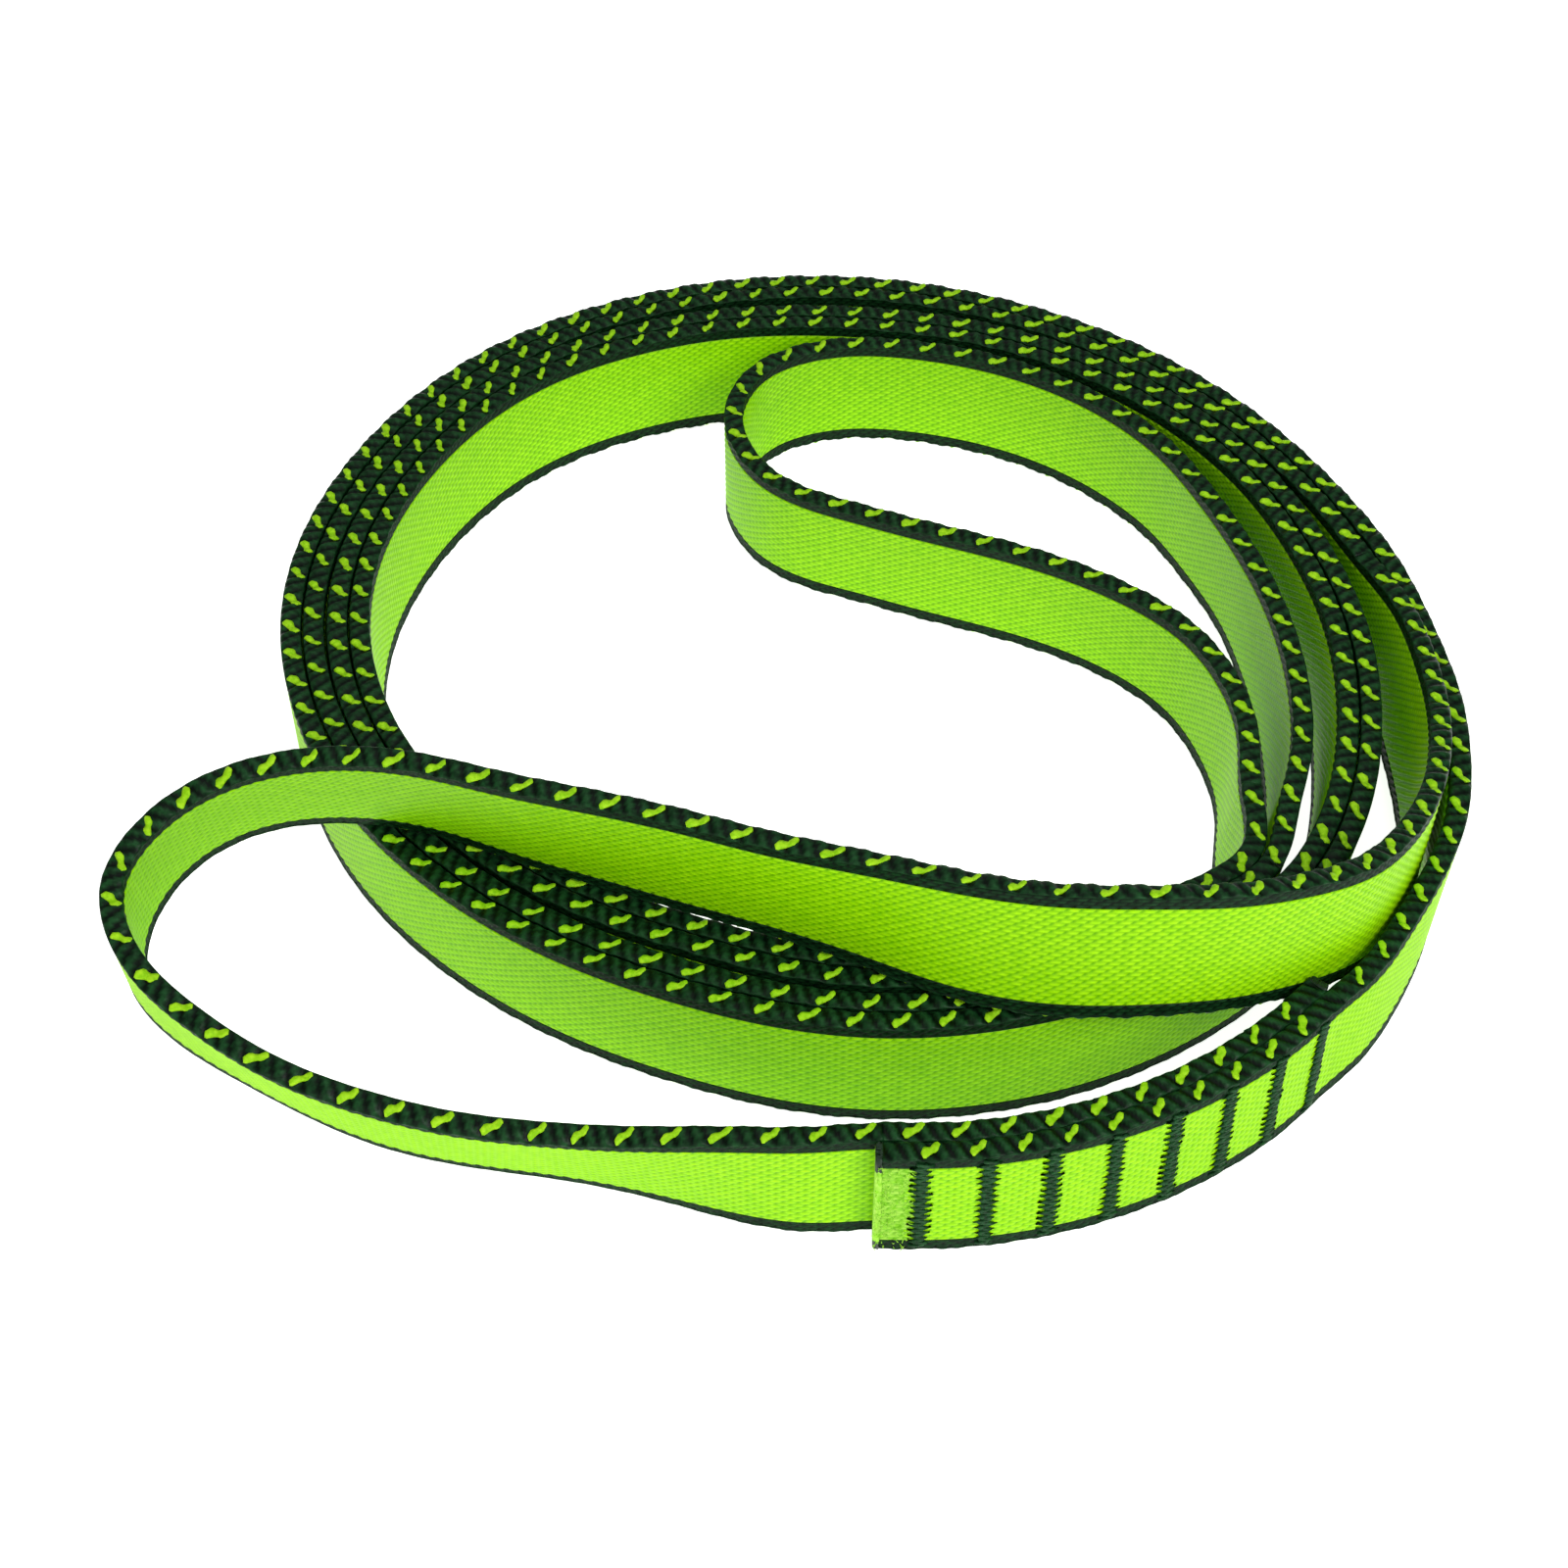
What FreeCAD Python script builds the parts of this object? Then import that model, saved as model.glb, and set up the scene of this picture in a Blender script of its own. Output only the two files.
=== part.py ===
import FreeCAD, Part
import math
import os

# Sewn runner: one length of flat polyamide tape, its two ends lapped and closed with bar tacks.
# It stands on its edge, doubled flat and coiled, as it comes out of its wrapper. Millimetres, +Z up.
# +X is to the right, +Y is to the back. The origin is under the middle of the whole runner.

# ---- the tape -------------------------------------------------------------------------------
tape_width = 18.0
tape_thickness = 2.8
selvedge_width = 2.0        # dark edge yarns, on each edge of the tape
strand_gap = 0.3            # air between two strands that lie face to face
lie_gap = 0.3               # air under a strand that lies on top of others
strand_pitch = tape_thickness + strand_gap

# ---- the lapped splice ----------------------------------------------------------------------
lap_centre = (4.2, -26.0)   # centre of the arc that the splice follows
lap_radius = 66.5           # to the middle of the inner layer
lap_start = -93.0           # degrees, at the cut end of the outer layer
lap_length = 59.5           # along the middle of the inner layer
sealed_length = 0.8         # melted bead on each cut end
tack_count = 8
tack_pitch = 7.3
first_tack = 4.4            # from the outer layer's cut end to the middle of the first bar tack
tack_width = 2.0
tack_relief = 0.5           # how far the thread stands off the tape
tack_edge = 1.0             # tape left bare beyond each end of a bar tack
stitch_count = 5            # through-stitches of one bar tack
stitch_radius = 0.4
needle_clearance = 0.05
outer_lap_radius = lap_radius + tape_thickness

# ---- the coil: (degrees, radius of the first turn, slack of the second turn inside it) ------
coil = (
    (7, 73.1, 2.2),
    (22, 70.3, 0.4),
    (45, 69.4, 0.0),
    (68, 70.3, 0.6),
    (90, 72.5, 1.8),
    (112, 74.8, 1.0),
    (135, 76.7, 0.0),
    (158, 77.0, 0.0),
    (180, 77.1, 0.2),
    (205, 75.5, 0.0),
    (230, 73.4, 0.5),
    (250, 72.8, 0.9),
    (270, 74.4, 0.6),
    (290, 75.0, 0.3),
    (315, 75.1, 0.3),
)
# The pair of strands drops from the first turn to the second along these.
turn_change = ((330, 71.8), (345, 68.2))
# How far the pair tilts outwards at the top, in degrees, over its two turns.
pair_lean = ((7, 0), (285, 0), (315, 8), (335, 5), (380, 0), (645, 0), (675, 8))
coil_step = 9               # degrees between stations on the coil

# ---- hand-laid stretches of the route -------------------------------------------------------
# From the splice to the start of the first turn: (x, y, lean).
lead_in = (
    (60.1, -68.1, 0),
    (65.9, -60.1, 0),
    (70.9, -51.3, 2),
    (74.7, -42.0, 5),
    (77.0, -30.7, 6),
    (78.1, -20.0, 3),
    (77.4, -8.0, 0),
)
# The inner loop, where the doubled tape turns back: (x, y, lean).
inner_loop = (
    (53.0, -40.3, 8),
    (56.2, -30.3, 6),
    (57.5, -20.2, 6),
    (57.5, -9.3, 5),
    (56.2, 2.0, 3),
    (53.9, 12.5, 0),
    (50.0, 23.4, 0),
    (45.5, 33.0, 0),
    (38.2, 42.4, 0),
    (29.7, 49.4, 0),
    (19.8, 54.5, 0),
    (10.1, 57.3, 0),
    (0.0, 58.2, 0),
    (-7.3, 56.6, 0),
    (-13.6, 52.6, 0),
    (-17.2, 46.5, 0),
    (-18.2, 39.5, 0),
    (-16.4, 32.4, 1),
    (-12.6, 26.5, 2),
    (-6.8, 22.2, 3),
    (0.0, 19.2, 4),
    (8.5, 15.7, 4),
    (18.0, 12.1, 4),
    (27.6, 7.8, 4),
    (36.8, 1.9, 3),
    (44.2, -5.8, 0),
    (48.5, -15.5, -3),
    (50.0, -26.2, -4),
    (48.9, -36.6, -6),
)
# The front loop climbs onto the coil, runs out past its left side and comes down to the splice:
# (x, y, level, lean). Level 0 stands on the ground and 1 on top of the coil. Lean is the tilt of
# the tape in degrees, positive with its upper edge towards the outside of the loop.
front_loop = (
    (73.9, -1.8, 0.03, -4),
    (74.6, -12.4, 0.08, -8),
    (74.5, -23.4, 0.15, -8),
    (73.2, -34.2, 0.26, -5),
    (70.4, -44.4, 0.40, -2),
    (65.8, -53.9, 0.54, 0),
    (59.4, -62.2, 0.68, 3),
    (51.5, -67.6, 0.81, 5),
    (42.2, -71.6, 0.93, 8),
    (31.6, -73.4, 1.0, 12),
    (20.6, -73.1, 1.0, 13),
    (9.1, -70.5, 1.0, 9),
    (-1.0, -66.6, 1.0, 1),
    (-11.5, -62.9, 1.0, -5),
    (-22.2, -59.1, 1.0, -6),
    (-33.0, -55.4, 1.0, -9),
    (-43.7, -51.8, 1.0, -13),
    (-54.7, -47.7, 1.0, -17),
    (-66.4, -45.6, 0.98, -20),
    (-78.5, -47.5, 0.93, -21),
    (-87.6, -53.8, 0.80, -14),
    (-91.2, -63.6, 0.63, 0),
    (-86.4, -72.4, 0.49, 13),
    (-78.2, -78.3, 0.38, 20),
    (-68.4, -83.4, 0.28, 23),
    (-58.6, -86.6, 0.18, 23),
    (-48.5, -88.3, 0.10, 24),
    (-38.0, -89.0, 0.03, 23),
    (-27.2, -90.4, 0.0, 17),
    (-16.1, -92.2, 0.0, 6),
    (-8.0, -92.9, 0.0, 1),
)


# ---- route ----------------------------------------------------------------------------------
def rest_height(lean):
    """Height of the tape's middle when its lower edge just touches the ground at this lean."""
    tilt = math.radians(abs(lean))
    return tape_width / 2 * math.cos(tilt) + tape_thickness / 2 * math.sin(tilt)


def station(x, y, level=0.0, lean=0.0):
    """One place on the tape's middle line, with its tilt."""
    z = rest_height(lean) + level * (tape_width + lie_gap)
    return FreeCAD.Vector(x, y, z), lean


def polar(degrees, radius, centre=(0.0, 0.0)):
    turn = math.radians(degrees)
    return centre[0] + radius * math.cos(turn), centre[1] + radius * math.sin(turn)


def lap_angle(distance):
    """Angle on the splice's arc, at a distance from its start along the inner layer's middle."""
    return lap_start + math.degrees(distance / lap_radius)


def lap_stations(radius, steps=8):
    angles = [lap_angle(lap_length * step / steps) for step in range(steps + 1)]
    return [station(*polar(angle, radius, lap_centre)) for angle in angles]


def smooth(knots, at):
    """A smooth curve through (place, value) knots."""
    index = max(i for i in range(len(knots) - 1) if knots[i][0] <= at)
    slopes = []
    for near in (index, index + 1):
        before = knots[max(near - 1, 0)]
        after = knots[min(near + 1, len(knots) - 1)]
        slopes.append((after[1] - before[1]) / (after[0] - before[0]))
    (start, low), (end, high) = knots[index], knots[index + 1]
    span = end - start
    t = (at - start) / span
    rise = high - low - slopes[0] * span
    fall = slopes[1] * span - (high - low)
    return low + t * (slopes[0] * span + t * (2 * rise - fall + t * (fall - rise)))


def strand_stations(offset, start, end):
    """Part of the doubled tape's two turns, on the strand this far outside the pair's middle."""
    first = [(angle, radius) for angle, radius, _ in coil]
    second = [(angle + 360, radius - 2 * strand_pitch - slack) for angle, radius, slack in coil]
    pair = first + list(turn_change) + second
    steps = round((end - start) / coil_step)
    found = []
    for step in range(steps + 1):
        angle = start + (end - start) * step / steps
        lean = math.copysign(smooth(pair_lean, angle), offset)
        found.append(station(*polar(angle, smooth(pair, angle) + offset), 0, lean))
    return found


def tape_route():
    """The whole tape, cut end to cut end: (name of the stretch, its stations)."""
    half = strand_pitch / 2
    start, end = coil[0][0], coil[-1][0]
    change = end + coil_step
    return [
        ("outer_lap", lap_stations(outer_lap_radius)),
        ("first_turn_outer",
         [station(x, y, 0, lean) for x, y, lean in lead_in] + strand_stations(half, start, end)),
        ("second_turn_outer", strand_stations(half, change, end + 360)),
        ("inner_loop", [station(x, y, 0, lean) for x, y, lean in inner_loop]),
        ("second_turn_inner", strand_stations(-half, change, end + 360)[::-1]),
        ("first_turn_inner", strand_stations(-half, start, end)[::-1]),
        ("front_loop", [station(*place) for place in front_loop]),
        ("inner_lap", lap_stations(lap_radius)),
    ]


def lap_sections(stretch):
    """On the splice the tape stands upright and square to its arc."""
    upright = FreeCAD.Vector(0, 0, 1)
    found = []
    for middle, _ in stretch:
        outward = FreeCAD.Vector(middle.x - lap_centre[0], middle.y - lap_centre[1], 0)
        found.append((middle, upright, outward.normalize()))
    return found


def sections(stations):
    """At each station: its middle, the direction across the tape and the one through it."""
    found = []
    for index, (middle, lean) in enumerate(stations):
        before = stations[max(index - 1, 0)][0]
        after = stations[min(index + 1, len(stations) - 1)][0]
        into = middle.sub(before)
        out = after.sub(middle)
        if into.Length == 0:
            into = out
        if out.Length == 0:
            out = into
        along = (into / into.Length ** 2 + out / out.Length ** 2).normalize()
        outward = FreeCAD.Vector(along.y, -along.x, 0).normalize()
        tilt = math.radians(lean)
        upright = FreeCAD.Vector(0, 0, 1)
        across = upright * math.cos(tilt) + outward * math.sin(tilt)
        across = (across - along * across.dot(along)).normalize()
        through = along.cross(across).normalize()
        found.append((middle, across, through))
    return found


# ---- solids ---------------------------------------------------------------------------------
bands = (
    ("lower_selvedge", -tape_width / 2, -tape_width / 2 + selvedge_width),
    ("web", -tape_width / 2 + selvedge_width, tape_width / 2 - selvedge_width),
    ("upper_selvedge", tape_width / 2 - selvedge_width, tape_width / 2),
)


def distances(stretch):
    """How far along the tape's middle line each section lies."""
    found = [0.0]
    for before, after in zip(stretch, stretch[1:]):
        found.append(found[-1] + after[0].sub(before[0]).Length)
    return found


def rail(stretch, height, side):
    """One long edge of a band, through every section."""
    half = side * tape_thickness / 2
    places = [middle + across * height + through * half for middle, across, through in stretch]
    curve = Part.BSplineCurve()
    curve.interpolate(Points=places, Parameters=distances(stretch))
    return curve


def ribbon(stretch, low, high):
    """A closed solid between two heights of the tape, along one stretch."""
    rails = [rail(stretch, height, side) for height, side in
             ((low, -1), (low, 1), (high, 1), (high, -1))]
    faces = [rails[index].makeRuledSurface(rails[(index + 1) % 4]).toShape() for index in range(4)]
    for corners in ([edge.StartPoint for edge in rails], [edge.EndPoint for edge in rails]):
        faces.append(Part.Face(Part.makePolygon(corners + corners[:1])))
    shell = Part.Shell(faces)
    shell.sewShape()
    solid = Part.Solid(shell)
    if solid.Volume < 0:
        solid.reverse()
    return solid


def lap_block(inside, outside, start, end, low, high):
    """A block between two radii and two angles of the splice's arc, and two heights."""
    corner = FreeCAD.Vector(*lap_centre, low)
    ring = Part.makeCylinder(outside, high - low, corner, FreeCAD.Vector(0, 0, 1), end - start)
    hollow = Part.makeCylinder(inside, high - low, corner, FreeCAD.Vector(0, 0, 1), end - start)
    block = ring.cut(hollow)
    block.rotate(corner, FreeCAD.Vector(0, 0, 1), start)
    return block


def stitch(tack, height, radius, inside, outside):
    """One through-stitch, or its needle hole, across the splice."""
    angle = math.radians(tack_angle(tack))
    out = FreeCAD.Vector(math.cos(angle), math.sin(angle), 0)
    foot = FreeCAD.Vector(*lap_centre, height) + out * inside
    return Part.makeCylinder(radius, outside - inside, foot, out)


def tack_angle(tack):
    return lap_angle(first_tack + tack * tack_pitch)


def stitch_heights():
    room = tape_width - 2 * selvedge_width
    return [selvedge_width + room * (row + 0.5) / stitch_count for row in range(stitch_count)]


def lap_band(radius, low, high):
    """One band of a lapped end, with the needle holes of every bar tack."""
    inside = radius - tape_thickness / 2
    outside = radius + tape_thickness / 2
    block = lap_block(inside, outside, lap_start, lap_angle(lap_length), low, high)
    holes = [
        stitch(tack, height, stitch_radius + needle_clearance, inside - 1, outside + 1)
        for tack in range(tack_count)
        for height in stitch_heights()
        if low < height < high
    ]
    return block.cut(holes) if holes else block


def bar_tack(tack):
    """Thread on both faces of the splice, joined by the stitches through it."""
    half = math.degrees(tack_width / 2 / outer_lap_radius)
    start = tack_angle(tack) - half
    end = tack_angle(tack) + half
    back = lap_radius - tape_thickness / 2
    front = outer_lap_radius + tape_thickness / 2
    low = tack_edge
    high = tape_width - tack_edge
    thread = lap_block(front, front + tack_relief, start, end, low, high)
    thread = thread.fuse(lap_block(back - tack_relief, back, start, end, low, high))
    overlap = tack_relief / 2
    for height in stitch_heights():
        thread = thread.fuse(stitch(tack, height, stitch_radius, back - overlap, front + overlap))
    return thread


def sealed_end(radius, start, length):
    """The melted bead on a cut end."""
    end = start + math.degrees(length / radius)
    low, high = min(start, end), max(start, end)
    half = tape_thickness / 2
    return lap_block(radius - half, radius + half, low, high, 0, tape_width)


# ---- build ----------------------------------------------------------------------------------
def build():
    nodes = {}
    route = tape_route()
    stations = [place for _, stretch in route for place in stretch]
    marks = sections(stations)
    laps = len(route[0][1])
    marks[:laps] = lap_sections(stations[:laps])
    marks[-laps:] = lap_sections(stations[-laps:])
    first = 0
    for name, stretch in route:
        last = first + len(stretch)
        if name.endswith("_lap"):
            radius = outer_lap_radius if name == "outer_lap" else lap_radius
            for band, low, high in bands:
                base = tape_width / 2
                nodes[name + "_" + band] = lap_band(radius, base + low, base + high)
        else:
            # A stretch runs from the last section of the one before it, except after a splice
            # end, and the last stretch before the splice runs on to it.
            reach = marks[first - 1:last + (1 if name == "front_loop" else 0)]
            for band, low, high in bands:
                nodes[name + "_" + band] = ribbon(reach, low, high)
        first = last
    nodes["outer_lap_sealed_end"] = sealed_end(outer_lap_radius, lap_start, -sealed_length)
    nodes["inner_lap_sealed_end"] = sealed_end(lap_radius, lap_angle(lap_length), sealed_length)
    for tack in range(tack_count):
        nodes["bar_tack_%d" % (tack + 1)] = bar_tack(tack)
    return nodes, stations


nodes, stations = build()
box = Part.Compound(list(nodes.values())).optimalBoundingBox(True, False)
shift = FreeCAD.Vector(-box.Center.x, -box.Center.y, 0)
length = sum(b[0].sub(a[0]).Length for a, b in zip(stations, stations[1:]))
print("tape from cut end to cut end %.0f mm, box %.1f x %.1f x %.1f mm" % (
    length, box.XLength, box.YLength, box.ZLength))
print("origin moved by (%.3f, %.3f)" % (shift.x, shift.y))
os.makedirs("parts", exist_ok=True)
for name, shape in nodes.items():
    shape.translate(shift)
    valid = shape.isValid() and len(shape.Solids) == 1
    print("%-32s volume %8.1f mm3  valid %s" % (name, shape.Volume, valid))
    shape.exportStep("parts/" + name + ".step")
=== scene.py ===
# %% [markdown]
# # A sewn webbing sling
# The real object is one length of flat woven polyamide tape. Its two ends are lapped and closed
# with bar tacks, so it is an endless loop. Here it stands on its edge, doubled and coiled.
# The tape has a lime web and a dark green selvedge along each edge. This script weaves both as
# real mesh, so that each yarn catches the light by itself, and then sews the splice.
#
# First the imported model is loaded. It is the frame: every piece made below lies where the same
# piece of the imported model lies, and takes its place.

# %% Load the frame
import math
import bpy
import numpy as np
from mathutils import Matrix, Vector


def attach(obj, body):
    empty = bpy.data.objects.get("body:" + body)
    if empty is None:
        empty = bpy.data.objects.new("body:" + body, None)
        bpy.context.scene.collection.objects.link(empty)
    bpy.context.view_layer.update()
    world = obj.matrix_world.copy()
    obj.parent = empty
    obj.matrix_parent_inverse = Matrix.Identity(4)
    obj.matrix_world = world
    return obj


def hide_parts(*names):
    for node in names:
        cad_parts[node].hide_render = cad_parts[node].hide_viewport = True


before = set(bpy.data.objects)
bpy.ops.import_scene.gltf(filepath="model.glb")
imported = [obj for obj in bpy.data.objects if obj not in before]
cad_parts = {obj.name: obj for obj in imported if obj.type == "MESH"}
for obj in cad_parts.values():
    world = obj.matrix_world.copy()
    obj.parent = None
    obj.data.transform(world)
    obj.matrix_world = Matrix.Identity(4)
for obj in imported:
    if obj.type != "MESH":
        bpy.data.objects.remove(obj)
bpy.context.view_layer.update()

print("frame:", len(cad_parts), "nodes")

# %% [markdown]
# ## Sizes
# A tape is described by its width, its thickness and its weave. All of them are in metres. The
# web is warp-faced: the eye sees rows of warp yarns, each of which floats over the weft, dips
# under it and comes up again. Neighbouring rows dip half a float apart, as bricks are laid.

# %% Sizes of the tape and its weave
tape_width = 0.018
tape_thickness = 0.0028
selvedge_width = 0.002
half_width = tape_width / 2
half_thickness = tape_thickness / 2
strand_pitch = 0.0031           # from one strand to the next that lies against it
lie_gap = 0.0003                # under a strand that lies on others

web_yarns = 26                  # warp yarns across the lime web
float_length = 0.00169          # one float of a web yarn, along the tape
yarn_relief = 0.00016           # the furrow between two yarns
float_relief = 0.00027          # how deep a yarn dips at the end of its float
fleck_pitch = 0.00554           # one lime fleck on the edge to the next

web_half = half_width - selvedge_width
print("web: %d yarns, one every %.2f mm" % (web_yarns, 2000 * web_half / web_yarns))

# %% [markdown]
# ## Colours
# Screen colours are not light: they are stored with a curve that suits the eye. A renderer adds
# and multiplies light, so each hex colour is first turned into a linear one. A material is a
# tree of nodes. Nodes could be wired up by hand one after another, but one small function that
# takes a node's settings and links keeps each recipe short enough to read.

# %% Colour and node helpers
def linear(hex_colour):
    """A hex colour such as #8DE214 as the linear colour that a shader wants."""
    parts = [int(hex_colour[i:i + 2], 16) / 255 for i in (1, 3, 5)]
    curve = [c / 12.92 if c <= 0.04045 else ((c + 0.055) / 1.055) ** 2.4 for c in parts]
    return (*curve, 1.0)


def add_node(tree, kind, links=(), **settings):
    """Adds a node. settings are its properties, or its sockets by name with _ for a space;
    links are (input socket, output socket) pairs."""
    node = tree.nodes.new(kind)
    for name, value in settings.items():
        if hasattr(node, name):
            setattr(node, name, value)
        else:
            node.inputs[name.replace("_", " ")].default_value = value
    for target, source in links:
        tree.links.new(source, node.inputs[target])
    return node


print("#8DE214 in linear light: %.3f %.3f %.3f" % linear("#8DE214")[:3])

# %% [markdown]
# ## Materials
# Polyamide yarn is dyed right through and has a soft, silky gloss. Its filaments are much finer
# than can be seen here, so they are drawn as a coarser grain that only breaks up the gloss. Each
# yarn has taken the dye a little differently, which is what keeps a plain cloth from looking
# like plastic. A woven pattern could be painted on a smooth band, but here the yarns are real
# mesh, so the recipe only needs the colour of the yarn and a painted shade, a deep colour laid
# into the furrows between two yarns. One recipe makes all the yarns, with their own colours.

# %% Recipe for a dyed yarn
polyamide_ior = 1.53            # polyamide 6
filament_size = 0.00012         # drawn coarser than the real 0.03 mm, so that it shows at all
filament_height = 0.00004
filament_strength = 0.25        # soft, as the filaments lie side by side
shade_until, light_from = 0.35, 0.65    # the noise between the two shades of dye


def dyed_polyamide(name, deep, shade, light, patch_size, roughness, gloss):
    """A silky dyed yarn: two shades of dye that mix in patches, a deep colour that paints shade
    between the yarns by how far each vertex has sunk, and filaments in the bump."""
    material = bpy.data.materials.new(name)
    material.use_nodes = True
    tree = material.node_tree
    shader = tree.nodes["Principled BSDF"]
    shader.inputs["Roughness"].default_value = roughness
    shader.inputs["IOR"].default_value = polyamide_ior
    shader.inputs["Specular IOR Level"].default_value = gloss   # filaments scatter most of it
    place = add_node(tree, "ShaderNodeTexCoord")
    patches = add_node(tree, "ShaderNodeTexNoise", [("Vector", place.outputs["Object"])],
                       Scale=1 / patch_size, Detail=3.0)
    dye = add_node(tree, "ShaderNodeValToRGB", [("Fac", patches.outputs["Fac"])])
    dye.color_ramp.elements[0].position = shade_until
    dye.color_ramp.elements[0].color = linear(shade)
    dye.color_ramp.elements[1].position = light_from
    dye.color_ramp.elements[1].color = linear(light)
    # Painted shade: the deep colour is mixed in by the sunk attribute. It is darkest in the
    # furrows and float dips, where real yarns would shade each other.
    sunk = add_node(tree, "ShaderNodeAttribute", attribute_name="sunk")
    mix = add_node(tree, "ShaderNodeMixRGB",
                   [("Fac", sunk.outputs["Fac"]), ("Color1", dye.outputs["Color"])],
                   Color2=linear(deep))
    filaments = add_node(tree, "ShaderNodeTexNoise", [("Vector", place.outputs["Object"])],
                         Scale=1 / filament_size, Detail=1.0)
    bump = add_node(tree, "ShaderNodeBump", [("Height", filaments.outputs["Fac"])],
                    Strength=filament_strength, Distance=filament_height)
    tree.links.new(mix.outputs["Color"], shader.inputs["Base Color"])
    tree.links.new(bump.outputs["Normal"], shader.inputs["Normal"])
    return material


# %% [markdown]
# Each finish below has a name, the deep colour, which is painted shade for the furrows and dips
# between yarns, the shade and light colours of its dye, the size of a patch of dye in metres, the
# roughness and the gloss. Only the woven web and the selvedges carry the sunk attribute, so only
# there does the painted shade show. Smooth polyamide has a roughness near 0.3. A yarn is
# rougher, because its filaments each turn the light their own way.

# %% The yarns, threads and fused ends
# Bulked yarn, dyed bright lime. The eye gets a glowing colour and a silky sheen on each float.
lime_yarn = dyed_polyamide("dyed polyamide yarn, lime",
                           "#58A000", "#9EE200", "#B2F20A", 0.0011, 0.36, 0.10)
# The same yarn in a green that is nearly black. The eye gets a dark band with small glints.
dark_yarn = dyed_polyamide("dyed polyamide yarn, dark green",
                           "#020A04", "#0C2A13", "#1B4623", 0.0009, 0.36, 0.08)
# The lime binder yarn at the edge, rubbed in use. The eye gets a duller lime than the web.
fleck_yarn = dyed_polyamide("dyed polyamide binder yarn, lime",
                            "#4E9A02", "#80BE08", "#A2D820", 0.0006, 0.45, 0.08)
# Sewing thread, twisted hard and bonded. The eye gets a dark thread with the sharpest gloss.
tack_thread = dyed_polyamide("twisted polyamide thread, dark green",
                             "#020A04", "#0E2E15", "#22502A", 0.0005, 0.34, 0.12)
# Lime yarn matted by the hot knife. The eye gets a paler, duller green without a sheen.
fused_yarn = dyed_polyamide("fused polyamide yarn, pale green",
                            "#62A414", "#86CC1E", "#B2E258", 0.0007, 0.55, 0.12)
# Dark yarn melted to a hard bead. The eye gets a smooth, nearly black lump with a wet gloss.
fused_edge = dyed_polyamide("fused polyamide, black green",
                            "#020A04", "#08180D", "#14301A", 0.0007, 0.35, 0.25)
print("materials:", len(bpy.data.materials))

# %% [markdown]
# ## The route
# The tape could be a cloth that is left to settle, but a stiff tape that somebody has coiled by
# hand keeps its own bends. So its middle line is laid through given stations, each with a place
# and a tilt, and a smooth line is drawn through them. The splice is a plain arc. The two turns of
# the coil are worked out from a few radii, because the doubled tape follows itself round.

# %% The splice and the coil
# The coil's own centre, in the row frame.
coil_centre = (0.006467, 0.010712)

# The splice is an arc. Its first angle is in degrees.
lap_centre = (0.0042, -0.0260)
lap_radius = 0.0665
lap_start = -93.0
lap_length = 0.0595

# (degrees, radius of the first turn, slack of the second turn inside it)
coil = (
    (7, 0.0731, 0.0022),
    (22, 0.0703, 0.0004),
    (45, 0.0694, 0.0000),
    (68, 0.0703, 0.0006),
    (90, 0.0725, 0.0018),
    (112, 0.0748, 0.0010),
    (135, 0.0767, 0.0000),
    (158, 0.0770, 0.0000),
    (180, 0.0771, 0.0002),
    (205, 0.0755, 0.0000),
    (230, 0.0734, 0.0005),
    (250, 0.0728, 0.0009),
    (270, 0.0744, 0.0006),
    (290, 0.0750, 0.0003),
    (315, 0.0751, 0.0003),
)
turn_change = ((330, 0.0718), (345, 0.0682))
coil_step = 9
# (degrees, tilt of the pair in degrees, outwards at the top)
pair_lean = ((7, 0), (285, 0), (315, 8), (335, 5), (380, 0), (645, 0), (675, 8))
print("splice: %.1f mm; coil: %d radii a turn" % (1000 * lap_length, len(coil)))

# %% [markdown]
# Where the tape leaves the coil it follows no rule, so each station has its own place. The
# doubled tape turns back on itself in a long, flat loop inside the coil.

# %% The lead-in and the inner loop
# From the splice to the start of the first turn: (x, y, lean).
lead_in = (
    (0.0601, -0.0681, 0),
    (0.0659, -0.0601, 0),
    (0.0709, -0.0513, 2),
    (0.0747, -0.0420, 5),
    (0.0770, -0.0307, 6),
    (0.0781, -0.0200, 3),
    (0.0774, -0.0080, 0),
)
# The inner loop, where the doubled tape turns back: (x, y, lean).
inner_loop = (
    (0.0530, -0.0403, 8),
    (0.0562, -0.0303, 6),
    (0.0575, -0.0202, 6),
    (0.0575, -0.0093, 5),
    (0.0562, 0.0020, 3),
    (0.0539, 0.0125, 0),
    (0.0500, 0.0234, 0),
    (0.0455, 0.0330, 0),
    (0.0382, 0.0424, 0),
    (0.0297, 0.0494, 0),
    (0.0198, 0.0545, 0),
    (0.0101, 0.0573, 0),
    (0.0000, 0.0582, 0),
    (-0.0073, 0.0566, 0),
    (-0.0136, 0.0526, 0),
    (-0.0172, 0.0465, 0),
    (-0.0182, 0.0395, 0),
    (-0.0164, 0.0324, 1),
    (-0.0126, 0.0265, 2),
    (-0.0068, 0.0222, 3),
    (0.0000, 0.0192, 4),
    (0.0085, 0.0157, 4),
    (0.0180, 0.0121, 4),
    (0.0276, 0.0078, 4),
    (0.0368, 0.0019, 3),
    (0.0442, -0.0058, 0),
    (0.0485, -0.0155, -3),
    (0.0500, -0.0262, -4),
    (0.0489, -0.0366, -6),
)
print("lead-in and inner loop: %d stations" % (len(lead_in) + len(inner_loop)))

# %% [markdown]
# The front loop is a single strand. It climbs onto the coil, swings out beyond it and comes back
# down to the splice. Its level is 0 on the ground and 1 on top of the other strands.

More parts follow.
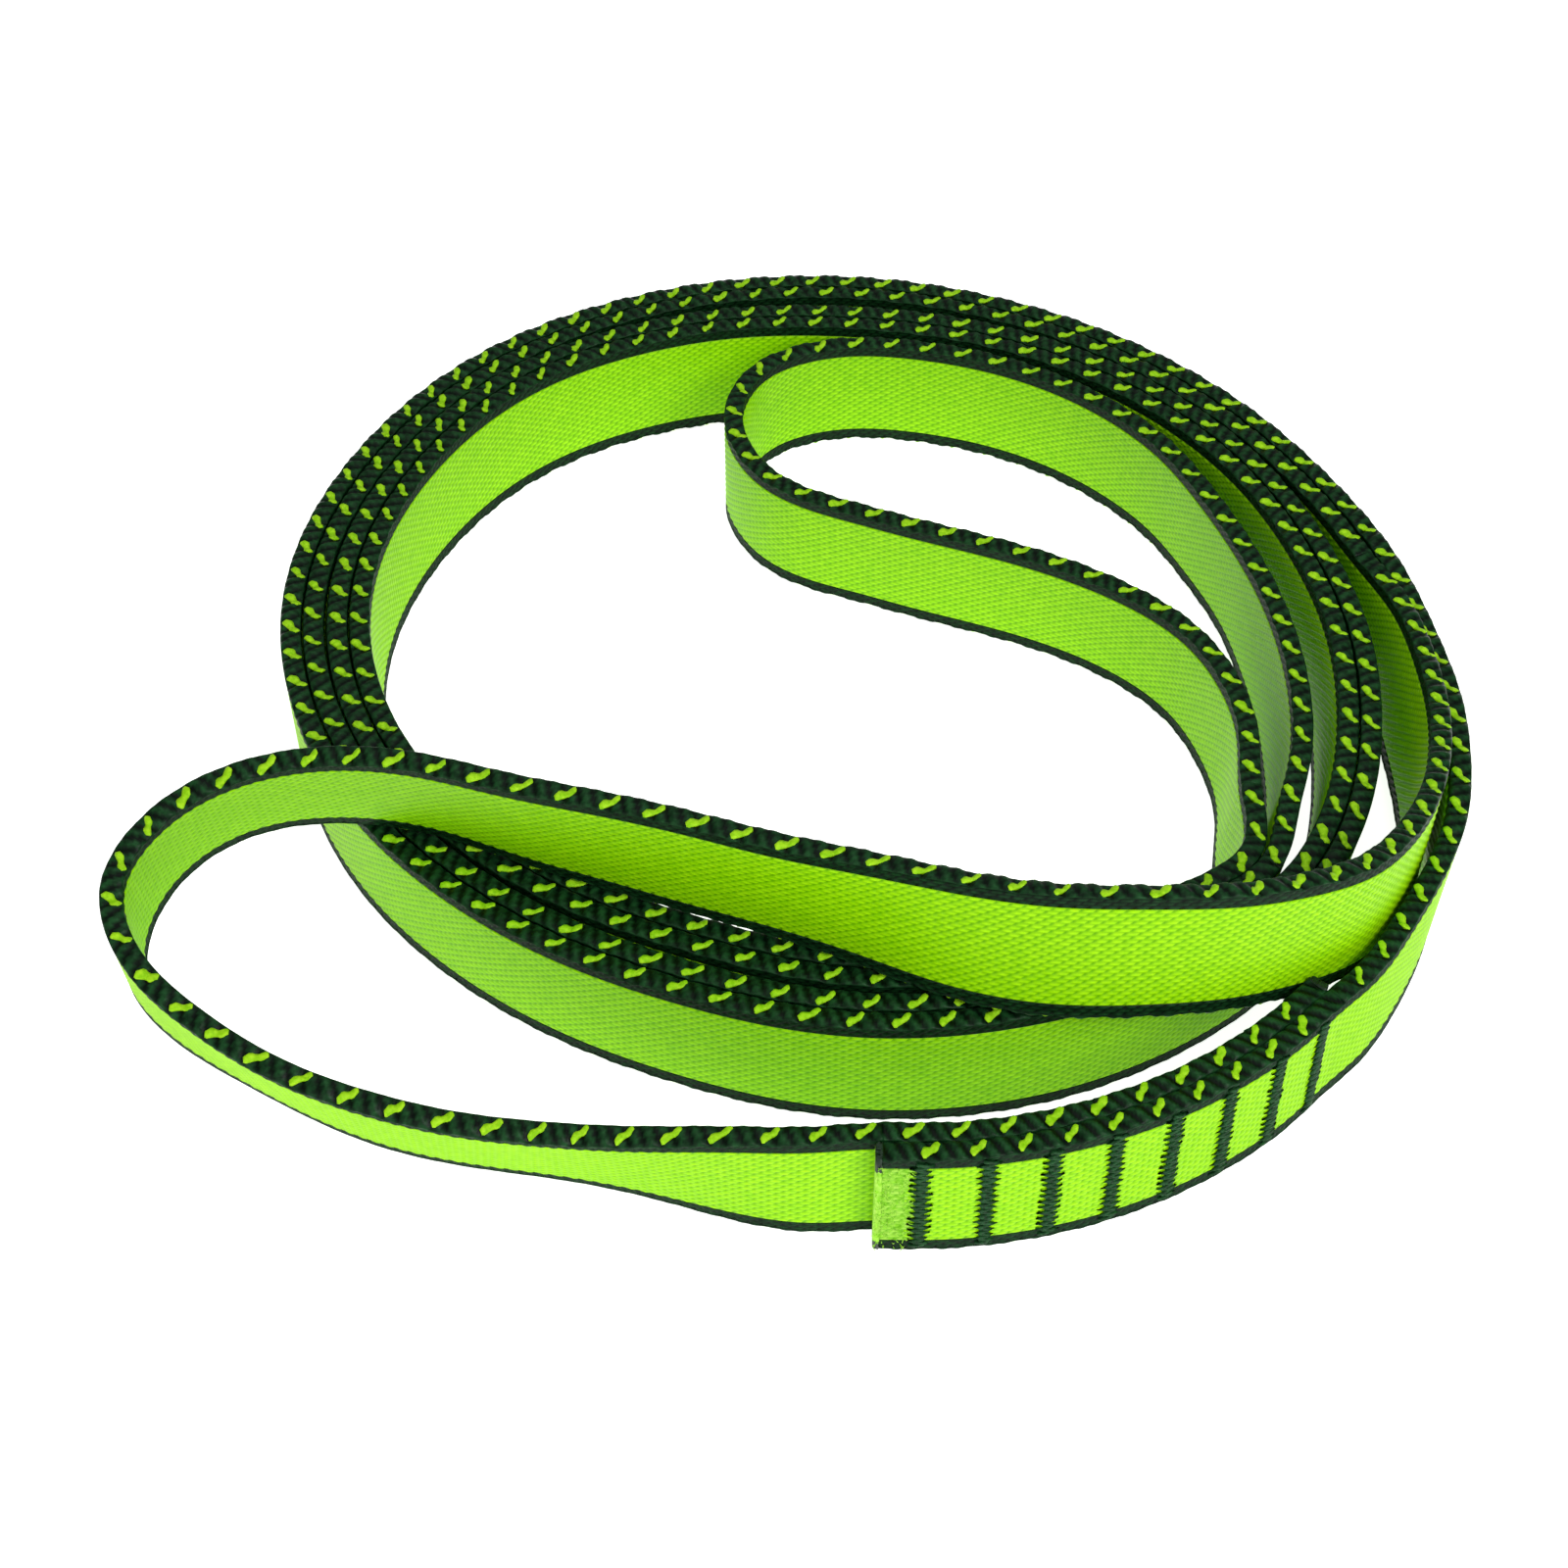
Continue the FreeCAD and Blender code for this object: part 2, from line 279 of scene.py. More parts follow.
# %% The front loop
# (x, y, level, lean)
front_loop = (
    (0.0739, -0.0018, 0.03, -4),
    (0.0746, -0.0124, 0.08, -8),
    (0.0745, -0.0234, 0.15, -8),
    (0.0732, -0.0342, 0.26, -5),
    (0.0704, -0.0444, 0.40, -2),
    (0.0658, -0.0539, 0.54, 0),
    (0.0594, -0.0622, 0.68, 3),
    (0.0515, -0.0676, 0.81, 5),
    (0.0422, -0.0716, 0.93, 8),
    (0.0316, -0.0734, 1.00, 12),
    (0.0206, -0.0731, 1.00, 13),
    (0.0091, -0.0705, 1.00, 9),
    (-0.0010, -0.0666, 1.00, 1),
    (-0.0115, -0.0629, 1.00, -5),
    (-0.0222, -0.0591, 1.00, -6),
    (-0.0330, -0.0554, 1.00, -9),
    (-0.0437, -0.0518, 1.00, -13),
    (-0.0547, -0.0477, 1.00, -17),
    (-0.0664, -0.0456, 0.98, -20),
    (-0.0785, -0.0475, 0.93, -21),
    (-0.0876, -0.0538, 0.80, -14),
    (-0.0912, -0.0636, 0.63, 0),
    (-0.0864, -0.0724, 0.49, 13),
    (-0.0782, -0.0783, 0.38, 20),
    (-0.0684, -0.0834, 0.28, 23),
    (-0.0586, -0.0866, 0.18, 23),
    (-0.0485, -0.0883, 0.10, 24),
    (-0.0380, -0.0890, 0.03, 23),
    (-0.0272, -0.0904, 0.00, 17),
    (-0.0161, -0.0922, 0.00, 6),
    (-0.0080, -0.0929, 0.00, 1),
)
print("front loop: %d stations" % len(front_loop))

# %% [markdown]
# A tape on its edge stands on its lower corner when it leans, so the height of its middle comes
# from its tilt. Here every stretch is turned into stations, in order from one cut end to the
# other: the outer layer of the splice, the coil and its two loops, the inner layer.

# %% Stations from cut end to cut end
def polar(degrees, radius, centre=(0.0, 0.0)):
    """The point at an angle and a distance from a centre."""
    turn = math.radians(degrees)
    return centre[0] + radius * math.cos(turn), centre[1] + radius * math.sin(turn)


def station(x, y, level=0.0, lean=0.0):
    """x, y, height of the tape's middle, tilt. Its lower edge touches the ground at level 0."""
    tilt = math.radians(abs(lean))
    rest = half_width * math.cos(tilt) + half_thickness * math.sin(tilt)
    return x + coil_centre[0], y + coil_centre[1], rest + level * (tape_width + lie_gap), lean


def lap(radius, steps=8):
    """Stations along the splice's arc."""
    turn = math.degrees(lap_length / lap_radius)
    return [station(*polar(lap_start + turn * i / steps, radius, lap_centre))
            for i in range(steps + 1)]


def smooth(knots, at):
    """A smooth curve through (place, value) knots."""
    index = max(i for i in range(len(knots) - 1) if knots[i][0] <= at)
    slopes = []
    for near in (index, index + 1):
        before, after = knots[max(near - 1, 0)], knots[min(near + 1, len(knots) - 1)]
        slopes.append((after[1] - before[1]) / (after[0] - before[0]))
    (start, low), (end, high) = knots[index], knots[index + 1]
    span = end - start
    t = (at - start) / span
    rise = high - low - slopes[0] * span
    fall = slopes[1] * span - (high - low)
    return low + t * (slopes[0] * span + t * (2 * rise - fall + t * (fall - rise)))


def strand(offset, start, end):
    """Part of the doubled tape's turns, on the strand this far outside the pair's middle."""
    first = [(angle, radius) for angle, radius, _ in coil]
    second = [(angle + 360, radius - 2 * strand_pitch - slack) for angle, radius, slack in coil]
    pair = first + list(turn_change) + second
    steps = round((end - start) / coil_step)
    found = []
    for step in range(steps + 1):
        angle = start + (end - start) * step / steps
        lean = math.copysign(smooth(pair_lean, angle), offset)
        found.append(station(*polar(angle, smooth(pair, angle) + offset), 0, lean))
    return found


half_pitch = strand_pitch / 2
first_angle, last_angle = coil[0][0], coil[-1][0]
change_angle = last_angle + coil_step
route = [
    ("outer_lap", lap(lap_radius + tape_thickness)),
    ("first_turn_outer", [station(x, y, 0, lean) for x, y, lean in lead_in]
     + strand(half_pitch, first_angle, last_angle)),
    ("second_turn_outer", strand(half_pitch, change_angle, last_angle + 360)),
    ("inner_loop", [station(x, y, 0, lean) for x, y, lean in inner_loop]),
    ("second_turn_inner", strand(-half_pitch, change_angle, last_angle + 360)[::-1]),
    ("first_turn_inner", strand(-half_pitch, first_angle, last_angle)[::-1]),
    ("front_loop", [station(*place) for place in front_loop]),
    ("inner_lap", lap(lap_radius)),
]
print("route:", ", ".join(name for name, _ in route))

# %% [markdown]
# A cubic spline keeps both its direction and its bend from one station to the next, so a band
# built on it has no kinks to catch the light. numpy solves it for all the stations at once.

# %% Spline along the whole tape
class Spline:
    """A natural cubic spline through rows of values at rising places."""

    def __init__(self, places, values):
        self.places, self.values = np.asarray(places), np.asarray(values)
        gap = np.diff(self.places)[:, None]
        rise = np.diff(self.values, axis=0) / gap
        count = len(self.places)
        matrix = np.eye(count)
        target = np.zeros_like(self.values)
        for i in range(1, count - 1):
            matrix[i, i - 1:i + 2] = gap[i - 1, 0], 2 * (gap[i - 1, 0] + gap[i, 0]), gap[i, 0]
            target[i] = 6 * (rise[i] - rise[i - 1])
        self.bend = np.linalg.solve(matrix, target)

    def at(self, places):
        """Values and slopes at these places."""
        index = np.clip(np.searchsorted(self.places, places) - 1, 0, len(self.places) - 2)
        gap = (self.places[index + 1] - self.places[index])[:, None]
        t = (places - self.places[index])[:, None]
        left, right = self.bend[index], self.bend[index + 1]
        rise = (self.values[index + 1] - self.values[index]) / gap
        slope = rise - gap * (2 * left + right) / 6
        third = (right - left) / (6 * gap)
        value = self.values[index] + t * (slope + t * (left / 2 + t * third))
        return value, slope + t * (left + 3 * t * third)


stations = np.array([place for _, places in route for place in places])
chords = np.linalg.norm(np.diff(stations[:, :3], axis=0), axis=1)
along_tape = np.concatenate([[0.0], np.cumsum(chords)])
tape_line = Spline(along_tape, stations)


def frames(s):
    """Middle, direction across and direction through the tape at distances s along it."""
    value, slope = tape_line.at(s)
    along = slope[:, :3] / np.linalg.norm(slope[:, :3], axis=1, keepdims=True)
    outward = np.stack([along[:, 1], -along[:, 0], np.zeros(len(s))], axis=1)
    outward /= np.linalg.norm(outward, axis=1, keepdims=True)
    tilt = np.radians(value[:, 3:4])
    across = np.array([0.0, 0.0, 1.0]) * np.cos(tilt) + outward * np.sin(tilt)
    across -= along * (across * along).sum(axis=1, keepdims=True)
    across /= np.linalg.norm(across, axis=1, keepdims=True)
    return value[:, :3], across, np.cross(along, across)


# Where each stretch starts and ends, in metres from the cut end. The stretches between the two
# layers of the splice begin where the one before them ends, so that no gap opens.
reaches = {}
first = 0
for name, places in route:
    last = first + len(places)
    joined = name not in ("outer_lap", "inner_lap")
    reaches[name] = (along_tape[first - 1 if joined else first],
                     along_tape[last if name == "front_loop" else last - 1])
    first = last
print("tape: %.3f m from cut end to cut end" % along_tape[-1])

# %% [markdown]
# ## A band of tape
# A band is a closed tube with one row of vertices for each small step along the tape. Its
# section is a ring of (height, depth) pairs, where height runs across the tape and depth through
# it. The depth is what the weave changes. A curve with a bevel would give a smooth band in one
# step, but it can't carry the relief of a weave. Blender takes the whole grid in one call, which
# is far quicker than adding faces one by one.

# %% Build a band from a grid of points
def grid_mesh(name, points, materials, face_material=None, sunk=None):
    """A closed tube from points[row, column], with its two ends capped."""
    rows, columns = points.shape[:2]
    corner = np.arange(rows * columns).reshape(rows, columns)
    ring = np.roll(corner, -1, axis=1)
    quads = np.stack([corner[:-1], ring[:-1], ring[1:], corner[1:]], axis=-1).reshape(-1, 4)
    ends = [corner[0][::-1], corner[-1]]
    loops = np.concatenate([quads.ravel(), *ends]).astype(np.int32)
    starts = np.concatenate([np.arange(len(quads)) * 4,
                             len(quads) * 4 + np.array([0, columns])]).astype(np.int32)
    mesh = bpy.data.meshes.new(name)
    mesh.vertices.add(rows * columns)
    mesh.vertices.foreach_set("co", points.reshape(-1).astype(np.float32))
    mesh.loops.add(len(loops))
    mesh.loops.foreach_set("vertex_index", loops)
    mesh.polygons.add(len(starts))
    mesh.polygons.foreach_set("loop_start", starts)
    for material in materials:
        mesh.materials.append(material)
    if face_material is not None:
        index = np.concatenate([face_material.reshape(-1), [0, 0]]).astype(np.int32)
        mesh.polygons.foreach_set("material_index", index)
    mesh.update(calc_edges=True)
    mesh.shade_smooth()
    mesh.validate()
    # sunk is stored for the yarn materials, which paint shade by it.
    if sunk is not None:
        mesh.attributes.new("sunk", "FLOAT", "POINT").data.foreach_set(
            "value", sunk.reshape(-1).astype(np.float32))
    piece = bpy.data.objects.new(name, mesh)
    bpy.context.scene.collection.objects.link(piece)
    return piece


def lay(s, height, depth):
    """Points at distances s along the tape, from heights across it and depths through it."""
    middle, across, through = (direction[:, None] for direction in frames(s))
    return middle + across * height[..., None] + through * depth[..., None]


def finish_piece(piece, slot, *nodes):
    """Hangs a piece under the root and hides the nodes of the frame that it stands for. slot, the
    name of its finish, is not used.
    """
    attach(piece, "root")
    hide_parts(*nodes)
    print("%-34s %7d faces" % (piece.name, len(piece.data.polygons)))
    return piece


# %% [markdown]
# ## The lime web
# Each warp yarn is a little ridge with a furrow on each side, and it dips where it goes under the
# weft. Two samples across a yarn, its furrow and its crest, are enough once the normals are
# smoothed. The rows of vertices fall on the dips, so no dip is lost between two rows. A face that
# lies hidden against the next strand gets crests only, and hidden strands get longer steps.
# Every vertex also keeps how far it has sunk. The yarn material darkens by it, as light is lost
# between real yarns.

# %% Depth of the weave
# (steps in one float, fine front face, fine back face)
weave_plan = {"outer_lap": (6, True, True), "inner_lap": (6, True, True),
              "front_loop": (4, True, True), "inner_loop": (4, True, True),
              "first_turn_outer": (4, True, False), "second_turn_outer": (2, True, True),
              "second_turn_inner": (4, True, False), "first_turn_inner": (2, True, True)}
float_flatness = 0.6            # under 1, so a float is level along most of its length
back_phase = 0.25               # the back's floats start this much of a float later


def rows_of(stretch, steps_in_float):
    """Distances along the tape: whole steps of the weave, and the stretch's two ends."""
    start, end = reaches[stretch]
    step = float_length / steps_in_float
    inner = np.arange(math.ceil(start / step + 0.2), math.floor(end / step - 0.2) + 1) * step
    return np.concatenate([[start], inner, [end]])


def weave_depth(s, sample, back, furrow=yarn_relief, dip=float_relief):
    """How far below the tape's face a sample lies. Odd samples are crests, even ones furrows."""
    yarn = (sample - 1) // 2
    phase = (s / float_length)[:, None] + 0.5 * (yarn % 2)[None, :] + back_phase * back
    rise = np.abs(np.sin(np.pi * phase)) ** float_flatness
    return np.where((sample % 2 == 1)[None, :], dip * (1 - rise), furrow)


print("weave: floats of %.2f mm, %.2f mm deep" % (1000 * float_length, 1000 * float_relief))

# %% [markdown]
# The heat that seals the cut end also bleaches and mats the yarns next to it. It reaches
# further along some yarns than others, so its edge is ragged. The faces that it reaches take
# another material: that follows the yarns exactly, which a painted mask would not.

# %% Where the web is fused
fused_length = 0.0034
fused_ragged = 0.0009
dice = np.random.default_rng(11)        # seeded, so that every run gives the same tape


def fused_faces(s, front, back):
    """1 for each face of the outer lap that the hot knife has matted, 0 for the rest."""
    reach = fused_length + dice.uniform(-fused_ragged, fused_ragged, front + back)
    reach[front:] = 0.0
    return (s[:-1, None] < reach[None, :]).astype(int)


print("fused web: %.1f mm from the cut" % (1000 * fused_length))

# %% [markdown]
# Now the section of a stretch is put together: up its front face, one sample for each crest and
# furrow, and down its back face.

# %% Weave the web
def face_samples(fine):
    """Numbers of the samples across one face: crests and furrows, or crests only."""
    if fine:
        return np.arange(2 * web_yarns + 1)
    return np.concatenate([[0], np.arange(1, 2 * web_yarns, 2), [2 * web_yarns]])


def woven_web(stretch):
    """The lime web of one stretch."""
    steps_in_float, fine_front, fine_back = weave_plan[stretch]
    s = rows_of(stretch, steps_in_float)
    front, back = face_samples(fine_front), face_samples(fine_back)
    sink_front, sink_back = weave_depth(s, front, 0), weave_depth(s, back, 1)
    samples = np.concatenate([front, back[::-1]])
    height = np.tile(-web_half + web_half * samples / web_yarns, (len(s), 1))
    depth = np.concatenate([half_thickness - sink_front, (sink_back - half_thickness)[:, ::-1]],
                           axis=1)
    # How far each vertex has sunk, from 0 to 1. It weights the painted shade of the yarn material.
    sunk = np.concatenate([sink_front, sink_back[:, ::-1]], axis=1) / float_relief
    materials, faces = [lime_yarn], None
    if stretch == "outer_lap":
        materials, faces = [lime_yarn, fused_yarn], fused_faces(s, len(front), len(back))
    piece = grid_mesh(stretch + "_woven_web", lay(s, height, depth), materials, faces, sunk)
    finish_piece(piece, "web_yarn", stretch + "_web")
    return piece


# %% [markdown]
# ## The dark selvedges
# Along each edge the same weave goes on in dark green for a few yarns, and the weft turns round
# the edge. That gives the edge its string of soft humps. It could be part of the web's own ring,
# but the real dark yarns are other yarns, with their own finish. So each selvedge is a ring of its
# own: up the front face, round the edge and down the back face.

# %% Weave the selvedges
selvedge_yarns = 3
edge_samples = 11
hump_height = 0.00070
edge_round = 0.00050            # how far the edge bulges beyond the flat faces
edge_swell = 0.22               # how much thicker the edge is than the web
turn_over = 0.00016             # relief of the weft where it turns over the edge
edge_furrow = 0.00020           # the furrow between two dark yarns
edge_dip = 0.00026              # how deep a dark yarn dips
edge_tuck = 0.98                # the edge starts this much of the web's thickness
hump_flatness, hump_middle = 0.8, 0.65      # humps stand above the middle, flecks sit below
weft_ridges = 3                 # in one fleck pitch
weft_slant = 2.4                # how far a ridge runs on while it goes round the edge
ridge_flatness, ridge_middle = 0.7, 0.4


def hump(s):
    """How high the edge stands at distances s: low where a fleck sits, high between."""
    wave = np.abs(np.sin(np.pi * s / fleck_pitch))
    return hump_height * (wave ** hump_flatness - hump_middle)


def weft_turn(s, turn):
    """The slanting ridges of the weft that wraps the edge."""
    wave = np.sin(2 * math.pi * s / (fleck_pitch / weft_ridges) + weft_slant * turn)
    ridge = np.abs(wave) ** ridge_flatness * np.sign(wave) - ridge_middle
    return turn_over * ridge * np.sin(turn)


def selvedge_ring(s, side):
    """Heights, depths and sinkings of one selvedge's section. side is 1 for the upper edge."""
    sample = np.arange(2 * selvedge_yarns + 1)
    face = np.linspace(web_half, half_width - edge_round, len(sample))
    sink_front = weave_depth(s, sample, 0, edge_furrow, edge_dip)
    sink_back = weave_depth(s, sample, 1, edge_furrow, edge_dip)
    turn = np.linspace(0, math.pi, edge_samples + 2)[1:-1]
    wrap = weft_turn(s[:, None], turn[None, :])
    rows = np.ones((len(s), 1))
    edge_height = (half_width - edge_round * (1 - np.sin(turn)) + wrap
                   + hump(s)[:, None] * np.sin(turn)[None, :])
    edge_depth = rows * (half_thickness * np.cos(turn) * (edge_tuck + edge_swell * np.sin(turn)))
    height = np.concatenate([rows * face, edge_height, rows * face[::-1]], axis=1)
    depth = np.concatenate([half_thickness - sink_front, edge_depth,
                            (sink_back - half_thickness)[:, ::-1]], axis=1)
    # The sinkings weight the painted shade: the dips of the dark yarns, and the furrows between
    # the weft ridges round the edge.
    sunk = np.concatenate([sink_front / edge_dip, np.clip(-wrap / turn_over, 0, 1),
                           sink_back[:, ::-1] / edge_dip], axis=1)
    return height * side, depth, sunk


def edge_point(s, turn, side, lift):
    """A point on the edge, at an angle round it and lifted off it."""
    height = half_width - edge_round * (1 - np.sin(turn)) + (hump(s) + lift) * np.sin(turn)
    depth = (half_thickness * (edge_tuck + edge_swell * np.sin(turn)) + lift) * np.cos(turn)
    return height * side, depth


def ringed(s, height, depth, side):
    """The points of a ring, turned round on the lower edge so that its faces look outwards."""
    points = lay(s, height, depth)
    return points if side > 0 else points[:, ::-1]


print("selvedge: %d dark yarns on each face" % selvedge_yarns)

# %% [markdown]
# ## The flecks
# Once in every few millimetres a lime binder yarn comes up through the dark edge, crosses it on
# a slant and goes back down. A second colour on the edge's own faces would be as coarse as those
# faces. So each fleck is a short, fat, slightly S-shaped pad that stands just proud of the edge.

# %% Build the flecks along an edge
fleck_length = 0.0024
fleck_thickness = 0.00018
fleck_lift = 0.00010            # its rim above the edge
fleck_root = -0.0002            # its underside, hidden in the edge
fleck_lean = 0.10               # radians round the edge, beyond its top
fleck_slant = 0.42              # radians to each side of that, from one tip to the other
fleck_fatness = 0.50            # radians
fleck_rows, fleck_columns = 9, 5


def fleck_grid(centre, side, wobble):
    """Points of one fleck's closed pad, as rows along it and a ring round it."""
    u = np.linspace(-1, 1, fleck_rows)
    s = centre + u * fleck_length / 2 * wobble[0]
    slant = math.pi / 2 + fleck_lean + fleck_slant * np.sin(u * 1.7) * wobble[1]
    waist = 1 - 0.40 * np.cos(u * 3)
    fat = fleck_fatness * np.clip(1 - u ** 4, 0.05, 1) * waist * wobble[2]
    v = np.linspace(-1, 1, fleck_columns)
    turn = slant[:, None] + fat[:, None] * v[None, :]
    bulge_across = np.sqrt(np.clip(1 - v ** 2, 0, 1))[None, :]
    bulge_along = np.sqrt(np.clip(1 - u ** 2, 0, 1))[:, None]
    lift = fleck_lift + fleck_thickness * bulge_across * bulge_along
    along = np.repeat(s[:, None], fleck_columns, axis=1)
    top = edge_point(along, turn, side, lift)
    under = edge_point(along, turn[:, ::-1], side, np.full_like(lift, fleck_root))
    height = np.concatenate([top[0], under[0]], axis=1)
    depth = np.concatenate([top[1], under[1]], axis=1)
    return s, height, depth


def flecks(name, start, end, side):
    """All the flecks of one edge, one small mesh each."""
    found = []
    at = (math.floor(start / fleck_pitch) + 1) * fleck_pitch
    while at < end - fleck_length / 2:
        if at > start + fleck_length / 2:
            wobble = dice.uniform(0.85, 1.12, 3)
            s, height, depth = fleck_grid(at, side, wobble)
            found.append(grid_mesh(name, ringed(s, height, depth, side), [fleck_yarn]))
        at += fleck_pitch
    return found


def join(pieces, name):
    """One object from several."""
    for piece in bpy.context.selected_objects:
        piece.select_set(False)
    for piece in pieces:
        piece.select_set(True)
    bpy.context.view_layer.objects.active = pieces[0]
    bpy.ops.object.join()
    pieces[0].name = name
    pieces[0].data.name = name
    return pieces[0]


def woven_selvedge(stretch, side):
    """One dark selvedge of a stretch, with its flecks."""
    start, end = reaches[stretch]
    s = rows_of(stretch, 6 if "lap" in stretch else 4)
    edge = "upper" if side > 0 else "lower"
    height, depth, sunk = selvedge_ring(s, side)
    band = grid_mesh("band", ringed(s, height, depth, side), [dark_yarn], None,
                     sunk if side > 0 else sunk[:, ::-1])
    piece = join([band] + flecks("fleck", start, end, side),
                 stretch + "_woven_%s_selvedge" % edge)
    finish_piece(piece, "selvedge_yarn", "%s_%s_selvedge" % (stretch, edge))
    return piece


print("flecks: one every %.2f mm" % (1000 * fleck_pitch))

# %% [markdown]
# ## Weaving the whole tape
# Each stretch gets its web and its two selvedges. The web stands on its lower edge.

# %% Weave every stretch
for stretch, _ in route:
    web = woven_web(stretch)
    upper = woven_selvedge(stretch, 1)
    lower = woven_selvedge(stretch, -1)

# %% [markdown]
# ## The bar tacks
# A bar tack is a dense zigzag of thread, sewn by machine across the whole tape through both
# layers. Its thread pulls in between the yarns, which gives each bar its saw-toothed sides. A
# flat patch with a bump would give neither the teeth nor the ridges. So the thread is modelled as
# it runs: straight up the tape and then over that from side to side, on both faces of the splice.

# %% Sew the bar tacks
tack_count = 8
tack_pitch = 0.0073
first_tack = 0.0044
tack_width = 0.0025
tack_edge = 0.0008
thread_radius = 0.00021
stitch_rise = 0.00054           # one web yarn, so a tooth comes out between every second pair
core_offset = 0.00036
core_sink, core_wave = 0.00008, 0.00005
stitch_sink = 0.00008           # how far a stitch goes in at each side
# (share of the reach, share of the rise, lift) on the way over to the other side
stitch_bow = ((0.5, 0.2, 0.00012), (0.0, 0.5, 0.00017), (-0.5, 0.8, 0.00012))
tube_sides = 6


def thread_tube(name, path, radius, material):
    """A closed tube round a path of points."""
    path = np.asarray(path)
    along = np.gradient(path, axis=0)
    along /= np.linalg.norm(along, axis=1, keepdims=True)
    guide = np.array([0.0, 0.0, 1.0])
    side = np.cross(along, guide)
    side /= np.linalg.norm(side, axis=1, keepdims=True)
    up = np.cross(side, along)
    turn = np.linspace(0, 2 * math.pi, tube_sides, endpoint=False)
    ring = side[:, None] * np.cos(turn)[None, :, None] + up[:, None] * np.sin(turn)[None, :, None]
    return grid_mesh(name, path[:, None] + ring * radius, [material])


def on_tape(points):
    """Points in space from rows of (place along, height across, depth through)."""
    s, height, depth = np.asarray(points, dtype=float).T
    return lay(s, height[:, None], depth[:, None])[:, 0]


def zigzag(centre, base_depth, outward):
    """The zigzag stitches of one bar on one face. They sink at each end and bow between."""
    bottom, top = -half_width + tack_edge, half_width - tack_edge
    points = []
    for i in range(int((top - bottom) / stitch_rise)):
        reach = tack_width / 2 * dice.uniform(0.75, 1.1) * (1 if i % 2 else -1)
        height = bottom + (i + 0.5) * stitch_rise
        points.append((centre + reach, height, base_depth - outward * stitch_sink))
        for part, share, lift in stitch_bow:
            points.append((centre + reach * part, height + stitch_rise * share,
                           base_depth + outward * lift))
    return on_tape(points)


def core(centre, base_depth, outward, offset):
    """A straight thread that runs up the tape under the zigzag."""
    heights = np.arange(-half_width + tack_edge, half_width - tack_edge, stitch_rise)
    wave = core_wave * np.sin(heights / stitch_rise * math.pi)
    lift = base_depth + outward * (wave - core_sink)
    return on_tape(np.stack([np.full_like(heights, centre + offset), heights, lift], axis=1))


outer_start = reaches["outer_lap"][0]
inner_start = reaches["inner_lap"][0]
for tack in range(tack_count):
    inner_place = first_tack + tack * tack_pitch
    outer_place = inner_place * (lap_radius + tape_thickness) / lap_radius
    runs = []
    for centre, face in ((outer_start + outer_place, 1), (inner_start + inner_place, -1)):
        runs.append(zigzag(centre, face * half_thickness, face))
        runs += [core(centre, face * half_thickness, face, offset)
                 for offset in (-core_offset, 0.0, core_offset)]
    name = "bar_tack_%d" % (tack + 1)
    tubes = [thread_tube("run", run, thread_radius, tack_thread) for run in runs]
    finish_piece(join(tubes, name + "_thread"), "bar_tack_thread", name)

# %% [markdown]
# ## The cut ends
# Tape is cut with a hot knife, which melts the yarn ends into a thin hard bead. Broken filaments
# stand out of it as fuzz. Particle hair could make the fuzz, but it isn't mesh and would be lost
# from the exported model. So the bead is a short lumpy band and each filament is a thin bent tube.

# %% Melt the cut ends
bead_length = 0.0008
bead_lump = 0.00018
bead_shrink = (1.0, 1.0, 0.98, 0.93, 0.8)       # of its thickness, row by row to its tip
bead_points = 72
bead_root = 0.0001              # how far it starts inside the cut
bead_width_share, bead_thickness_share = 0.985, 0.9
filament_radius = 0.000045
filament_root = 0.0001          # how far a filament starts inside the yarn
filament_stand = 0.00035
outer_filaments, inner_filaments = 170, 30
inner_fuzz_reach = 0.0006       # how far from the inner cut its filaments start


def melted_bead(name, start, toward, material):
    """A lumpy closed cap on a cut end, reaching from start by bead_length in one direction."""
    rows = len(bead_shrink)
    s = start + toward * np.linspace(-bead_root, bead_length, rows)
    turn = np.linspace(0, 2 * math.pi, bead_points, endpoint=False)
    square = np.maximum(np.abs(np.cos(turn)), np.abs(np.sin(turn)))
    height = half_width * bead_width_share * np.cos(turn) / square
    depth = half_thickness * bead_thickness_share * np.sin(turn) / square
    lump = dice.uniform(-bead_lump, bead_lump, (rows, bead_points))
    depth = depth * np.array(bead_shrink)[:, None] + lump
    if toward < 0:
        s, depth = s[::-1], depth[::-1]
    dark = np.abs(np.tile(height, (rows - 1, 1))) > web_half
    return grid_mesh(name, lay(s, np.tile(height, (rows, 1)), depth),
                     [material, fused_edge], dark.astype(int))


def fuzz(start, end, count, faces, material):
    """Broken filaments that stand out of a stretch of the tape's face or its cut end."""
    found = []
    for _ in range(count):
        s0 = dice.uniform(start, end)
        height = dice.uniform(-half_width * 0.92, half_width * 0.80)
        length = dice.uniform(0.0004, 0.0011)
        swing = dice.uniform(-1, 1, 2)
        t = np.linspace(0, 1, 4)
        s = s0 + length * 0.8 * swing[0] * t
        climb = height + length * 0.8 * swing[1] * t
        stand = half_thickness - filament_root + filament_stand * np.sin(math.pi * 0.6 * t)
        path = on_tape(np.stack([s, climb, faces * stand], axis=1))
        found.append(thread_tube("filament", path, filament_radius, material))
    return found


outer_bead = melted_bead("bead", outer_start, -1, fused_yarn)
outer_fuzz = fuzz(outer_start - bead_length, outer_start + fused_length,
                  outer_filaments, 1, fused_yarn)
finish_piece(join([outer_bead] + outer_fuzz, "outer_lap_melted_end"), "melted_end",
             "outer_lap_sealed_end")

